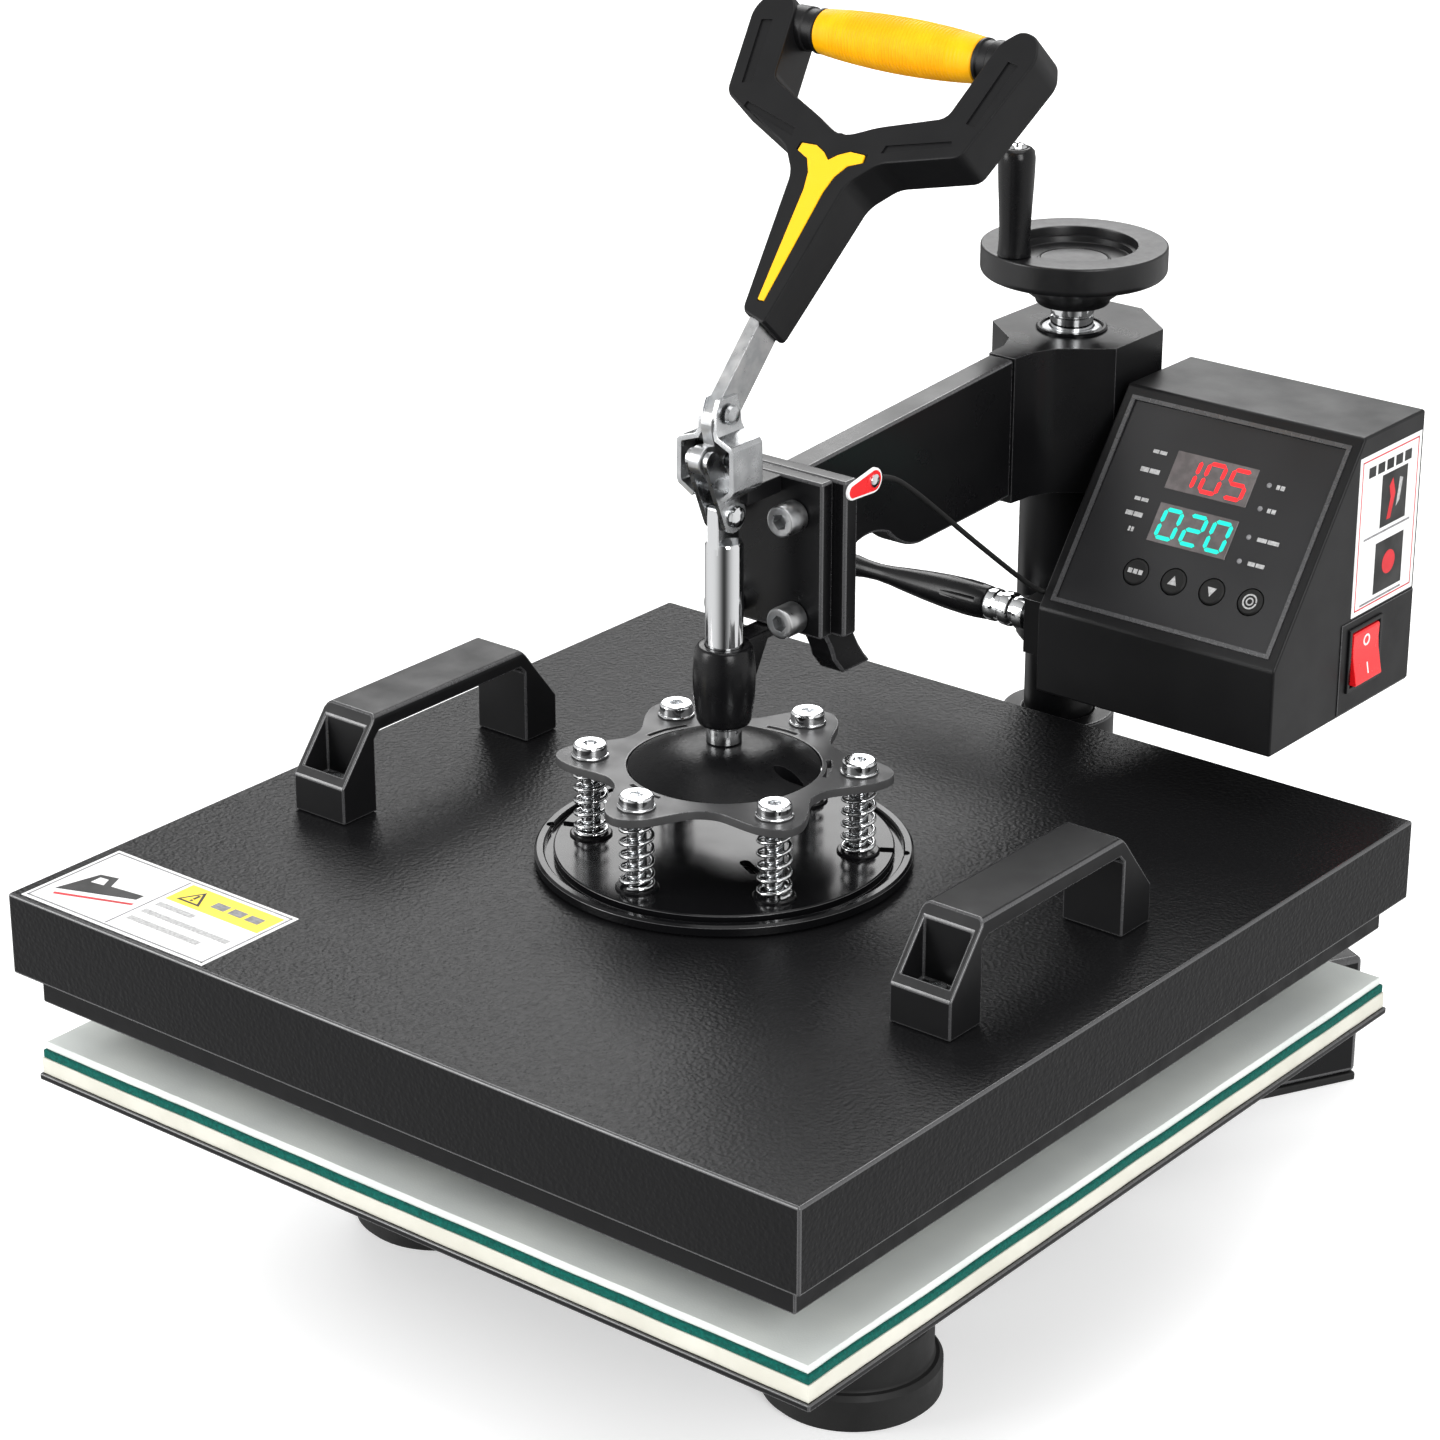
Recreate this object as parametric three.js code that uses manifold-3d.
// Swing-away flat heat press, held open: a hot upper platen under a toggle clamp, on an arm
// that swings round a post, above a padded lower platen. Millimetres, +Z up, floor at z = 0.
// X is the user's right and Y runs to the rear. The press axis is x = 0, y = 0 until the last
// line, which moves the whole machine so that its box is centred on the origin.
import * as THREE from 'three';
import { mergeVertices } from 'three/addons/utils/BufferGeometryUtils.js';
import Module from 'manifold-3d';

const wasm = await Module();
wasm.setup();

// ---- driving dimensions -----------------------------------------------------------------
const gap = 0.3;                                     // between pieces that touch
const base = { beamBottom: 34, beamTop: 74, beamWidth: 50, footX: 106, footY: -54, footR: 35 };
const rearLeg = { cornerX: 128, cornerY: 282, splay: 27.5, width: 34, bottom: 4, top: 60 };
const postAxisY = 230;
const post = { r: 15, bore: 10, bottom: 120, top: 296 };
const socket = { r: 24, top: 161 };
const lower = { side: 381, bottom: 88.9, plate: 2.8, bossR: 30 };
const pads = [
  { name: 'pad_silicone', side: 379, t: 6.6, color: 0xe9e5d2 },
  { name: 'pad_felt', side: 378, t: 3.2, color: 0x12695c },
  { name: 'pad_foam', side: 376, t: 3.4, color: 0xdfe3df },
];
const cover = { width: 384, depth: 397, top: 172, height: 34, wall: 2 };
const heater = { inset: 7.5, bottom: 125, thickness: 24 };
const disc = { r: 74, grooveOuter: 70, grooveInner: 66, bottom: 172.3, top: 178 };
const star = { boltR: 52.6, lobeR: 13.5, valleyR: 46, openingR: 38, bottom: 207.8, top: 211.4 };
const dome = { r: 37.4, top: 221, flatR: 9 };
const rod = { r: 7.4, bottom: 221.3, shoulder: 303 };
const guide = { bottom: 229, top: 261, bore: 7.8 };
const pivot = { z: 336, pinR: 3, holeR: 3.5, crank: 13.2, crankAngle: 102, link: 28 };
const flange = { y: 24, t: 7, halfWidth: 28, bottom: 262, top: 325 };
const endPlate = { y: 31.3, t: 7.7, halfWidth: 33.6 };
const arm = { thickness: 12 };
const hub = { half: 31, front: 217, back: 252, rear: 271, bottom: 269, top: 331.4, cavityTop: 318, bore: 15.4,
  padReach: 34.2 };
const sleeve = { r: 19.4, bottom: 191 };
const screw = { r: 9, bottom: 262, top: 342 };
const wheel = { r: 38.8, bottom: 355, top: 367.6, skirtR: 15.3, skirt: 342.5, dishR: 26, crankX: -9, crankY: -30.5 };
const lean = 43;                                     // open lever, degrees back from upright
const lever = { width: 14, thickness: 5.4, kneeY: -4, kneeZ: 352, gripAt: 164.6 };
const box = { left: 34.8, width: 112.2, front: 160.5, rear: 268, bottom: 199.5, top: 316.6,
  lip: 236, brow: 221, wall: 2.4 };
const lock = { y: 197, z: 215, right: 11, ferrule: -14.7, end: -92 };
const handle = { x: 148, width: 27, front: -73, rear: 55, height: 41, bar: 7, foot: 19, step: 15.5, rake: 20,
  pocketWidth: 21, pocketFloor: 12, pocketFront: 3, pocketBack: 16.5 };

const rad = THREE.MathUtils.degToRad;
const press = new THREE.Group();

// ---- helpers ----------------------------------------------------------------------------
const finishes = {
  black: [0x141414, 0.45, 0.3], blackPlastic: [0x1b1b1c, 0.5, 0], zinc: [0xb9bcbf, 0.3, 0.9],
  chrome: [0xd8dadd, 0.12, 1], rubber: [0x171717, 0.85, 0],
  yellow: [0xf6c400, 0.45, 0], red: [0xc4141c, 0.4, 0], brass: [0xb08a3c, 0.35, 0.9],
  steel: [0x8d9094, 0.35, 0.9],
};

function piece(name, geometry, finish, x = 0, y = 0, z = 0) {
  const [color, roughness, metalness] = finishes[finish] ?? [finish, 0.8, 0];
  const mesh = new THREE.Mesh(geometry, new THREE.MeshStandardMaterial({ color, roughness, metalness }));
  mesh.name = name;
  mesh.position.set(x, y, z);
  press.add(mesh);
  return mesh;
}

function half(size) {
  return size / 2;
}

function solid(geometry) {
  const bare = geometry.clone();
  bare.deleteAttribute('normal');
  bare.deleteAttribute('uv');
  const merged = mergeVertices(bare, 1e-4);
  return new wasm.Manifold(new wasm.Mesh({
    numProp: 3,
    vertProperties: Float32Array.from(merged.attributes.position.array),
    triVerts: Uint32Array.from(merged.index.array),
  }));
}

function geometryOf(manifold) {
  const mesh = manifold.getMesh();
  const geometry = new THREE.BufferGeometry();
  geometry.setAttribute('position', new THREE.BufferAttribute(Float32Array.from(mesh.vertProperties), 3));
  geometry.setIndex(new THREE.BufferAttribute(Uint32Array.from(mesh.triVerts), 1));
  return geometry;
}

function join(first, ...others) {
  return geometryOf(others.reduce((sum, other) => sum.add(solid(other)), solid(first)));
}

function cut(first, ...tools) {
  return geometryOf(tools.reduce((rest, tool) => rest.subtract(solid(tool)), solid(first)));
}

// A block between two corners.
function block(x0, x1, y0, y1, z0, z1) {
  const geometry = new THREE.BoxGeometry(x1 - x0, y1 - y0, z1 - z0);
  return geometry.translate((x0 + x1) / 2, (y0 + y1) / 2, (z0 + z1) / 2);
}

// Upright, lengthwise (X) and fore-and-aft (Y) round bars.
function barZ(r, z0, z1, segments = 32, x = 0, y = 0) {
  const geometry = new THREE.CylinderGeometry(r, r, z1 - z0, segments).rotateX(Math.PI / 2);
  return geometry.translate(x, y, (z0 + z1) / 2);
}

function barX(r, x0, x1, segments = 24, y = 0, z = 0) {
  const geometry = new THREE.CylinderGeometry(r, r, x1 - x0, segments).rotateZ(Math.PI / 2);
  return geometry.translate((x0 + x1) / 2, y, z);
}

function barY(r, y0, y1, segments = 24, x = 0, z = 0) {
  const geometry = new THREE.CylinderGeometry(r, r, y1 - y0, segments);
  return geometry.translate(x, (y0 + y1) / 2, z);
}

// A turned part about Z from [radius, z] points.
function turned(points, segments = 36) {
  const profile = points.map(([r, z]) => new THREE.Vector2(r, z));
  return new THREE.LatheGeometry(profile, segments).rotateX(Math.PI / 2);
}

function outline(points) {
  return new THREE.Shape(points.map(([a, b]) => new THREE.Vector2(a, b)));
}

// A plan outline in X and Y, raised between two heights.
function raised(shape, z0, z1, curveSegments = 12) {
  const settings = { depth: z1 - z0, bevelEnabled: false, curveSegments };
  return new THREE.ExtrudeGeometry(shape, settings).translate(0, 0, z0);
}

// A side outline in Y and Z, drawn out along X.
function across(shape, x0, x1, curveSegments = 12) {
  const settings = { depth: x1 - x0, bevelEnabled: false, curveSegments };
  const geometry = new THREE.ExtrudeGeometry(shape, settings);
  return geometry.rotateY(Math.PI / 2).rotateX(Math.PI / 2).translate(x0, 0, 0);
}

// A flat bar with round ends from one point to another, in Y and Z.
function strap(y0, z0, y1, z1, startR, endR = startR) {
  const along = Math.atan2(z1 - z0, y1 - y0);
  const shape = new THREE.Shape();
  shape.absarc(y1, z1, endR, along - Math.PI / 2, along + Math.PI / 2);
  shape.absarc(y0, z0, startR, along + Math.PI / 2, along + 1.5 * Math.PI);
  shape.closePath();
  return shape;
}

// ---- base -------------------------------------------------------------------------------
function frontBeam() {
  const half = base.footX + 20;
  const geometry = block(-half, half, -20, 20, 0, base.beamTop - base.beamBottom);
  piece('front_beam', geometry, 'black', 0, base.footY, base.beamBottom);
}

function spine() {
  const half = base.beamWidth / 2;
  const front = base.footY + 20 + gap;
  const beam = block(-half, half, front, postAxisY + 32, base.beamBottom, base.beamTop);
  const tube = barZ(socket.r, base.beamTop - 1, socket.top, 40, 0, postAxisY);
  const well = barZ(post.r + gap, post.bottom - gap, socket.top + 1, 40, 0, postAxisY);
  piece('spine', cut(join(beam, tube), well), 'black');
}

// Plan of a right rear leg: a box beam that splays out from the spine.
function rearLegPlan(length) {
  const [sin, cos] = [Math.sin(rad(rearLeg.splay)), Math.cos(rad(rearLeg.splay))];
  const start = base.beamWidth / 2 + gap;
  const outer = [rearLeg.cornerX, rearLeg.cornerY];
  const inner = [outer[0] - rearLeg.width * cos, outer[1] + rearLeg.width * sin];
  const back = (from) => {
    const reach = length ?? (from[0] - start) / sin;
    return [from[0] - reach * sin, from[1] - reach * cos];
  };
  return [back(outer), outer, inner, back(inner)];
}

function rearLegs() {
  for (const [side, sign] of [['left', -1], ['right', 1]]) {
    const mirror = (points) => outline(sign > 0 ? points : points.map(([x, y]) => [-x, y]).reverse());
    const leg = raised(mirror(rearLegPlan()), 0, rearLeg.top - rearLeg.bottom);
    piece(`rear_leg_${side}`, leg, 'black', 0, 0, rearLeg.bottom);
    const pad = raised(mirror(rearLegPlan(60)), 0, rearLeg.bottom - gap);
    piece(`foot_rear_${side}`, pad, 'rubber');
  }
}

function frontFeet() {
  const top = base.beamBottom - gap;
  const profile = [[0, 0], [33, 0], [base.footR, 2], [base.footR, 15], [33, 17], [31.5, top], [0, top]];
  for (const [side, sign] of [['left', -1], ['right', 1]]) {
    piece(`foot_front_${side}`, turned(profile, 32), 'rubber', sign * base.footX, base.footY, 0);
  }
}

function postTube() {
  const [low, high] = [post.bottom, post.top];
  const profile = [[post.bore, low], [post.r, low], [post.r, high - 1], [post.r - 1, high], [post.bore, high],
    [post.bore, low]];
  piece('post', turned(profile, 40), 'black', 0, postAxisY, 0);
}

function lowerPlaten() {
  const half = lower.side / 2;
  const plate = block(-half, half, -half, half, lower.bottom, lower.bottom + lower.plate);
  const boss = barZ(lower.bossR, base.beamTop + gap, lower.bottom + 1, 40);
  piece('lower_platen', join(plate, boss), 'black');
  let level = lower.bottom + lower.plate + gap;
  for (const pad of pads) {
    const h = pad.side / 2;
    piece(pad.name, block(-h, h, -h, h, 0, pad.t), pad.color, 0, 0, level);
    level += pad.t + gap;
  }
}

// ---- arm, hub and lift screw --------------------------------------------------------------
function liftNut() {
  const low = post.top + gap;
  const profile = [[screw.r + gap, low], [14, low], [14, low + 12], [screw.r + gap, low + 12], [screw.r + gap, low]];
  piece('lift_nut', turned(profile, 32), 'brass', 0, postAxisY, 0);
}

function hubAndSleeve() {
  const { half, front, back, rear } = hub;
  const side = [[arm.thickness / 2 + 0.5, 180], [arm.thickness / 2 + 1.5, 192], [12, 202], [half, front],
    [half, back], [8, rear]];
  const mirrored = side.map(([x, y]) => [-x, y]).reverse();
  const body = raised(outline([...side, ...mirrored]), hub.bottom, hub.top);
  const pad = block(half - 1, hub.padReach, 222, 248, hub.bottom + 6, hub.bottom + 36);
  const casting = join(body, pad);
  const tube = turned([[0, sleeve.bottom], [sleeve.r - 4, sleeve.bottom], [sleeve.r, sleeve.bottom + 5],
    [sleeve.r, hub.bottom + 1], [0, hub.bottom + 1]], 40).translate(0, postAxisY, 0);
  const lug = block(lock.right + gap, 27, lock.y - 12, postAxisY - 12, lock.z - 12, lock.z + 12);
  const bore = barZ(hub.bore, sleeve.bottom - 1, hub.cavityTop, 40, 0, postAxisY);
  const screwHole = barZ(screw.r + gap, hub.cavityTop - 1, hub.top + 1, 32, 0, postAxisY);
  piece('hub', cut(join(casting, tube, lug), bore, screwHole), 'black');
}

function armBeam() {
  const side = new THREE.Shape();
  const rearFace = 180 - gap;
  side.moveTo(endPlate.y + endPlate.t - 1, 321.5);
  side.lineTo(endPlate.y + endPlate.t - 1, 266);
  side.quadraticCurveTo(58, 250, 62, 236);
  side.lineTo(68, 229);
  side.lineTo(86, 229);
  side.quadraticCurveTo(68, 246, 68, 277);
  side.quadraticCurveTo(80, 287, 96, 280);
  side.quadraticCurveTo(106, 270, 118, 269.5);
  side.lineTo(rearFace, 272);
  side.lineTo(rearFace, 331);
  side.closePath();
  const web = across(side, -arm.thickness / 2, arm.thickness / 2, 8);
  const { y, t, halfWidth } = endPlate;
  const plate = block(-halfWidth, halfWidth, y, y + t, flange.bottom, flange.top);
  piece('arm', join(web, plate), 'black');
}

function wheelAndScrew() {
  const { r, bottom, top } = wheel;
  const bore = screw.r + gap;
  const { skirt, skirtR, dishR } = wheel;
  const profile = [[bore, skirt], [skirtR, skirt], [skirtR + 0.7, skirt + 2.5], [30, bottom], [r - 2, bottom],
    [r, bottom + 2], [r, top - 1], [r - 1, top], [dishR + 1, top], [dishR, top - 1], [dishR - 1, top - 7],
    [14, top - 7], [13, top - 6], [bore, top - 6], [bore, skirt]];
  piece('handwheel', turned(profile, 44), 'blackPlastic', 0, postAxisY, 0);
  const shaft = [[0, screw.bottom], [screw.r - 1, screw.bottom], [screw.r, screw.bottom + 1], [screw.r, top - 7],
    [screw.r - 1, top - 6], [0, top - 6]];
  piece('lift_screw', turned(shaft, 28), 'chrome', 0, postAxisY, 0);
  const grip = [[0, 0], [7, 0], [6.5, 6], [6.6, 12], [7.3, 28], [7.7, 40], [7.2, 44.5], [6, 46.5], [0, 46.5]];
  piece('crank_grip', turned(grip, 24), 'blackPlastic', wheel.crankX, postAxisY + wheel.crankY, top + gap);
}

// A turned handle about X, from [distance along -X, radius] points.
function lockLever() {
  const profile = [[0, lock.right], [4.5, lock.right], [4.5, 6], [7.2, 4], [7.2, -6], [6.4, -8], [7, lock.ferrule],
    [7.6, -24], [7.4, -40], [4.4, -62], [3.7, -72], [4.8, lock.end + 4], [3.4, lock.end], [0, lock.end]];
  const geometry = turned(profile.map(([r, x]) => [r, x]).reverse(), 24).rotateY(Math.PI / 2);
  piece('lock_lever', geometry, 'blackPlastic', 0, lock.y, lock.z);
}

// ---- toggle clamp -------------------------------------------------------------------------
function clampFlange() {
  const { y, t, halfWidth, bottom, top } = flange;
  piece('clamp_flange', block(-halfWidth, halfWidth, y, y + t, bottom, top), 'black');
  let index = 1;
  for (const z of [268.8, 310]) {
    for (const x of [-15.5, 15.5]) {
      const head = cut(barY(6.3, y - gap - 10, y - gap, 24, 0, 0), barY(2.9, y - 11, y - 6, 6, 0, 0));
      piece(`flange_screw_${index}`, head, 'zinc', x, 0, z);
      index += 1;
    }
  }
}

function clampFork() {
  const slot = 6.3;
  const [low, high] = [322, 350];
  const web = block(-13, 13, 12, flange.y - gap, 318, high);
  const side = new THREE.Shape();
  side.moveTo(13, low);
  side.lineTo(-8, low);
  side.lineTo(-11.5, low + 6);
  side.lineTo(-11.5, high - 8);
  side.lineTo(-4, high);
  side.lineTo(13, high);
  side.closePath();
  const ears = [across(side, -13, -slot), across(side, slot, 13)];
  const pin = barX(pivot.pinR, -slot - 1, slot + 1, 24, 0, pivot.z);
  piece('clamp_fork', join(web, ...ears, pin), 'zinc');
}

function guideBush() {
  const { bottom, top, bore } = guide;
  const barrel = turned([[bore, bottom], [9.4, bottom], [10.6, bottom + 1.6], [11.6, bottom + 7], [12.2, bottom + 17],
    [11.8, top - 6], [10.8, top - 1.4], [9.4, top], [bore, top], [bore, bottom]], 36);
  const rib = outline([[9, 232], [21, 258], [flange.y + 5, 258], [flange.y + 5, flange.bottom - gap],
    [9, flange.bottom - gap]]);
  const clear = barZ(bore + 0.6, bottom - 1, flange.bottom + 1, 36);
  piece('guide_bush', join(barrel, cut(across(rib, -5, 5), clear)), 'black');
}

// End of the crank on the lever, where the link's top would be pinned.
const crank = {
  y: -pivot.crank * Math.sin(rad(pivot.crankAngle)),
  z: pivot.z - pivot.crank * Math.cos(rad(pivot.crankAngle)),
};
const rodPin = { z: crank.z - Math.sqrt(pivot.link ** 2 - crank.y ** 2) };

function leverBar() {
  const [half, r] = [lever.thickness / 2, lever.width / 2];
  const reach = 62;
  const endY = lever.kneeY + reach * Math.sin(rad(lean));
  const endZ = lever.kneeZ + reach * Math.cos(rad(lean));
  const arms = [
    across(strap(crank.y, crank.z, 0, pivot.z, 5.5), -half, half, 6),
    across(strap(0, pivot.z, lever.kneeY, lever.kneeZ, 7), -half, half, 6),
    across(strap(lever.kneeY, lever.kneeZ, endY, endZ, r), -half, half, 6),
  ];
  const hole = barX(pivot.holeR, -half - 1, half + 1, 24, 0, pivot.z);
  piece('lever_bar', cut(join(...arms), hole), 'zinc');
}

function toggleLink() {
  const [inner, outer] = [half(lever.thickness) + 0.3, 5.2];
  const plan = strap(0, rodPin.z, crank.y, crank.z, 6.5, 4);
  const plates = [across(plan, -outer, -inner, 8), across(plan, inner, outer, 8)];
  const [midY, midZ] = [crank.y / 2, (rodPin.z + crank.z) / 2];
  const bridge = barX(1.6, -inner - 1, inner + 1, 12, midY, midZ);
  const holes = barX(pivot.holeR, -outer - 1, outer + 1, 24, 0, rodPin.z);
  piece('toggle_link', cut(join(...plates, bridge), holes), 'zinc');
}

function plungerRod() {
  const shaft = turned([[0, rod.bottom], [7, rod.bottom], [7, guide.bottom - 2], [rod.r, guide.bottom - 1],
    [rod.r, rod.shoulder - 1], [6.4, rod.shoulder], [0, rod.shoulder]], 32);
  const tongue = across(strap(0, rod.shoulder - 4, 0, rodPin.z, 5.6), -half(lever.thickness), half(lever.thickness));
  const pin = barX(pivot.pinR, -6, 6, 24, 0, rodPin.z);
  piece('plunger_rod', join(shaft, tongue, pin), 'chrome');
}

// The lever's handle lies in a plane that leans back with the lever. In its own frame X is
// across, Y runs up the lever from the knee, and Z faces the user.
function leaning(geometry) {
  return geometry.rotateX(rad(90 - lean)).translate(0, lever.kneeY, lever.kneeZ);
}

function leverHandle() {
  const [thick, bevel] = [20, 3];
  const yoke = outline([[-10, 42], [10, 38], [13, 100], [22, 110], [55, 119], [67, 164], [63, 173], [55, 175],
    [48, 168], [41, 134], [12, 126], [-12, 126], [-42, 137], [-48, 168], [-55, 175], [-63, 173], [-67, 164],
    [-60, 127], [-22, 110], [-14, 100]]);
  const settings = { depth: thick - 2 * bevel, bevelEnabled: true, bevelSize: 0, bevelThickness: bevel,
    bevelSegments: 1, bevelOffset: 0 };
  const body = new THREE.ExtrudeGeometry(yoke, settings).translate(0, 0, bevel - thick / 2);
  const barSlot = block(-half(lever.thickness) - 0.4, half(lever.thickness) + 0.4, 30, 71, -7.6, 7.6);
  piece('handle_yoke', leaning(cut(body, barSlot)), 'blackPlastic');
  const profile = [[0, -45], [8, -45], [8, -38], [9, -36], [11, 0], [9, 36], [8, 38], [8, 45], [0, 45]];
  const grip = turned(profile, 28).rotateY(Math.PI / 2).translate(0, lever.gripAt, 0);
  piece('handle_grip', leaning(grip), 'yellow');
}

// ---- floating upper platen ------------------------------------------------------------------
const boltAngles = [30, 90, 150, 210, 270, 330];

function starPlate() {
  const shape = new THREE.Shape();
  const steps = 72;
  for (let i = 0; i < steps; i += 1) {
    const angle = (i / steps) * 2 * Math.PI;
    const wave = (1 + Math.cos(6 * (angle - rad(30)))) / 2;
    const r = star.valleyR + (star.boltR + star.lobeR - star.valleyR) * wave ** 1.3;
    const point = [r * Math.cos(angle), r * Math.sin(angle)];
    if (i === 0) shape.moveTo(...point);
    else shape.lineTo(...point);
  }
  shape.closePath();
  const holes = boltAngles.map((a) => barZ(4.5, star.bottom - 1, star.top + 1, 16,
    star.boltR * Math.cos(rad(a)), star.boltR * Math.sin(rad(a))));
  const opening = barZ(star.openingR, star.bottom - 1, star.top + 1, 48);
  piece('star_plate', cut(raised(shape, star.bottom, star.top), opening, ...holes), 'black');
}

function domePlate() {
  const points = [[0, star.bottom], [dome.r, star.bottom], [dome.r, star.top]];
  const steps = 5;
  for (let i = 1; i <= steps; i += 1) {
    const t = i / steps;
    const r = dome.r + (dome.flatR - dome.r) * t;
    points.push([r, star.top + (dome.top - star.top) * Math.sin(t * Math.PI / 2)]);
  }
  points.push([0, dome.top]);
  piece('dome_plate', turned(points, 40), 'black');
}

function springDisc() {
  const { r, grooveOuter, grooveInner, bottom, top } = disc;
  const profile = [[0, bottom], [r, bottom], [r, top - 2], [r - 1, top - 1], [grooveOuter, top - 1],
    [grooveOuter, top - 4], [grooveInner, top - 4], [grooveInner, top], [0, top]];
  piece('spring_disc', turned(profile, 48), 'black');
}

function boltsAndSprings() {
  boltAngles.forEach((angle, i) => {
    const [x, y] = [star.boltR * Math.cos(rad(angle)), star.boltR * Math.sin(rad(angle))];
    const [low, seat] = [disc.top + gap, star.top + gap];
    const bolt = turned([[0, low], [3.9, low], [3.9, seat], [7.2, seat], [7.2, seat + 3.6], [6.4, seat + 4.6],
      [2.6, seat + 4.6], [2.6, seat + 2], [0, seat + 2]], 16);
    piece(`bolt_${i + 1}`, bolt, 'chrome', x, y, 0);
    const [end, over] = [disc.top + gap, star.bottom - gap];
    const spring = turned([[4.6, end], [7, end], [7, over], [4.6, over], [4.6, end]], 16);
    piece(`spring_${i + 1}`, spring, 'chrome', x, y, 0);
  });
}

function coverAndHeater() {
  const [w, d, { top, height, wall }] = [half(cover.width), half(cover.depth), cover];
  const shell = block(-w, w, -d, d, top - height, top);
  const hollow = block(wall - w, w - wall, wall - d, d - wall, top - height - 1, top - wall);
  piece('cover', cut(shell, hollow), 'black');
  const [hw, hd] = [w - heater.inset, d - heater.inset];
  piece('heat_plate', block(-hw, hw, -hd, hd, 0, heater.thickness), 'black', 0, 0, heater.bottom);
}

function coverHandles() {
  const { front, rear, height, bar, foot, step, rake, pocketWidth, pocketFloor, pocketFront, pocketBack } = handle;
  const side = outline([[front, 0], [front + foot, 0], [front + foot, height - bar - 3],
    [front + foot + 3, height - bar], [rear - foot - 3, height - bar], [rear - foot, height - bar - 3],
    [rear - foot, 0], [rear, 0], [rear, step], [rear - rake, height], [front + rake, height], [front, step]]);
  const x = half(pocketWidth);
  const pockets = [[front + pocketFront, front + pocketBack], [rear - pocketBack, rear - pocketFront]]
    .map(([low, high]) => block(-x, x, low, high, pocketFloor, height));
  for (const [name, sign] of [['left', -1], ['right', 1]]) {
    const geometry = across(side, -half(handle.width), half(handle.width));
    piece(`cover_handle_${name}`, cut(geometry, ...pockets), 'blackPlastic', sign * handle.x, 0, cover.top + gap);
  }
}

// ---- control box ------------------------------------------------------------------------------
const slope = Math.atan2(box.top - box.lip, box.brow - box.front);
const slopeLength = Math.hypot(box.top - box.lip, box.brow - box.front);

// Puts a piece made on the sloping face in place: X across from the left, Y up the slope,
// Z out of the face.
function onSlope(geometry) {
  return geometry.rotateX(slope).translate(box.left, box.front, box.lip);
}

function controlBox() {
  const { left, width, front, rear, bottom, top, lip, brow, wall } = box;
  const side = outline([[front, bottom], [rear, bottom], [rear, top], [brow, top], [front, lip]]);
  const inside = outline([[front + wall, bottom + wall], [rear - wall, bottom + wall], [rear - wall, top - wall],
    [brow + 1, top - wall], [front + wall, lip - 1]]);
  const hollow = across(inside, left + wall, left + width - wall);
  const window = onSlope(block(6, width - 6, 6, slopeLength - 6, -12, 2));
  const switchHole = block(left + width - wall - 1, left + width + 1, 218, 240, 210, 236);
  piece('control_shell', cut(across(side, left, left + width), hollow, window, switchHole), 'blackPlastic');
  const panel = block(6 + gap, width - 6 - gap, 6 + gap, slopeLength - 6 - gap, -3, -0.6);
  const wells = [0, 1, 2, 3].map((i) => barZ(5.9, -4, 1, 24, 35 + 18.3 * i, 25));
  piece('control_face', onSlope(cut(panel, ...wells)), 'blackPlastic');
  for (let i = 0; i < 4; i += 1) {
    const button = barZ(5.4, -3, 0.6, 24, 35 + 18.3 * i, 25);
    piece(`button_${i + 1}`, onSlope(button), 'rubber');
  }
  const rocker = outline([[218.5, 0], [239.5, 0], [239.5, 23], [218.5, 23]]);
  const body = across(rocker, -3, 1);
  const ramp = across(outline([[219, 0.5], [239, 0.5], [239, 11.5], [219, 11.5]]), 0, 3);
  piece('power_rocker', join(body, ramp), 'red', left + width, 0, 211.5);
}

// A pear-shaped safety tag on the arm's end plate, and the thin lead from it to the box.
function tagAndLead() {
  const x = endPlate.halfWidth + gap;
  const shape = strap(34, 321, 47, 322, 5);
  piece('safety_tag', across(shape, x, x + 1.6, 10), 'red');
  const route = [[34.5, 52.6, 321.6], [34.1, 60, 319.6], [33.3, 72, 311.9], [32.5, 86, 301.6], [31.9, 100, 290.8],
    [31.4, 114, 279.9], [31.1, 128, 269.1], [30.8, 142, 258.4], [30.7, 153, 250.1], [30.8, 160, 245],
    [31.2, 164.5, 242], [32.4, 167.2, 240.4], [34.4, 168, 240]];
  const curve = new THREE.CatmullRomCurve3(route.map((p) => new THREE.Vector3(...p)));
  const section = new THREE.Shape();
  section.absarc(0, 0, 1.1, 0, 2 * Math.PI);
  const settings = { steps: 40, curveSegments: 4, extrudePath: curve, bevelEnabled: false };
  piece('tag_lead', new THREE.ExtrudeGeometry(section, settings), 'rubber');
}

frontBeam();
spine();
rearLegs();
frontFeet();
postTube();
lowerPlaten();
liftNut();
hubAndSleeve();
armBeam();
wheelAndScrew();
lockLever();
clampFlange();
clampFork();
guideBush();
leverBar();
toggleLink();
plungerRod();
leverHandle();
starPlate();
domePlate();
springDisc();
boltsAndSprings();
coverAndHeater();
coverHandles();
controlBox();
tagAndLead();

const rearReach = rearLeg.cornerY + rearLeg.width * Math.sin(rad(rearLeg.splay));
press.position.y = (cover.depth / 2 - rearReach) / 2;

export default press;
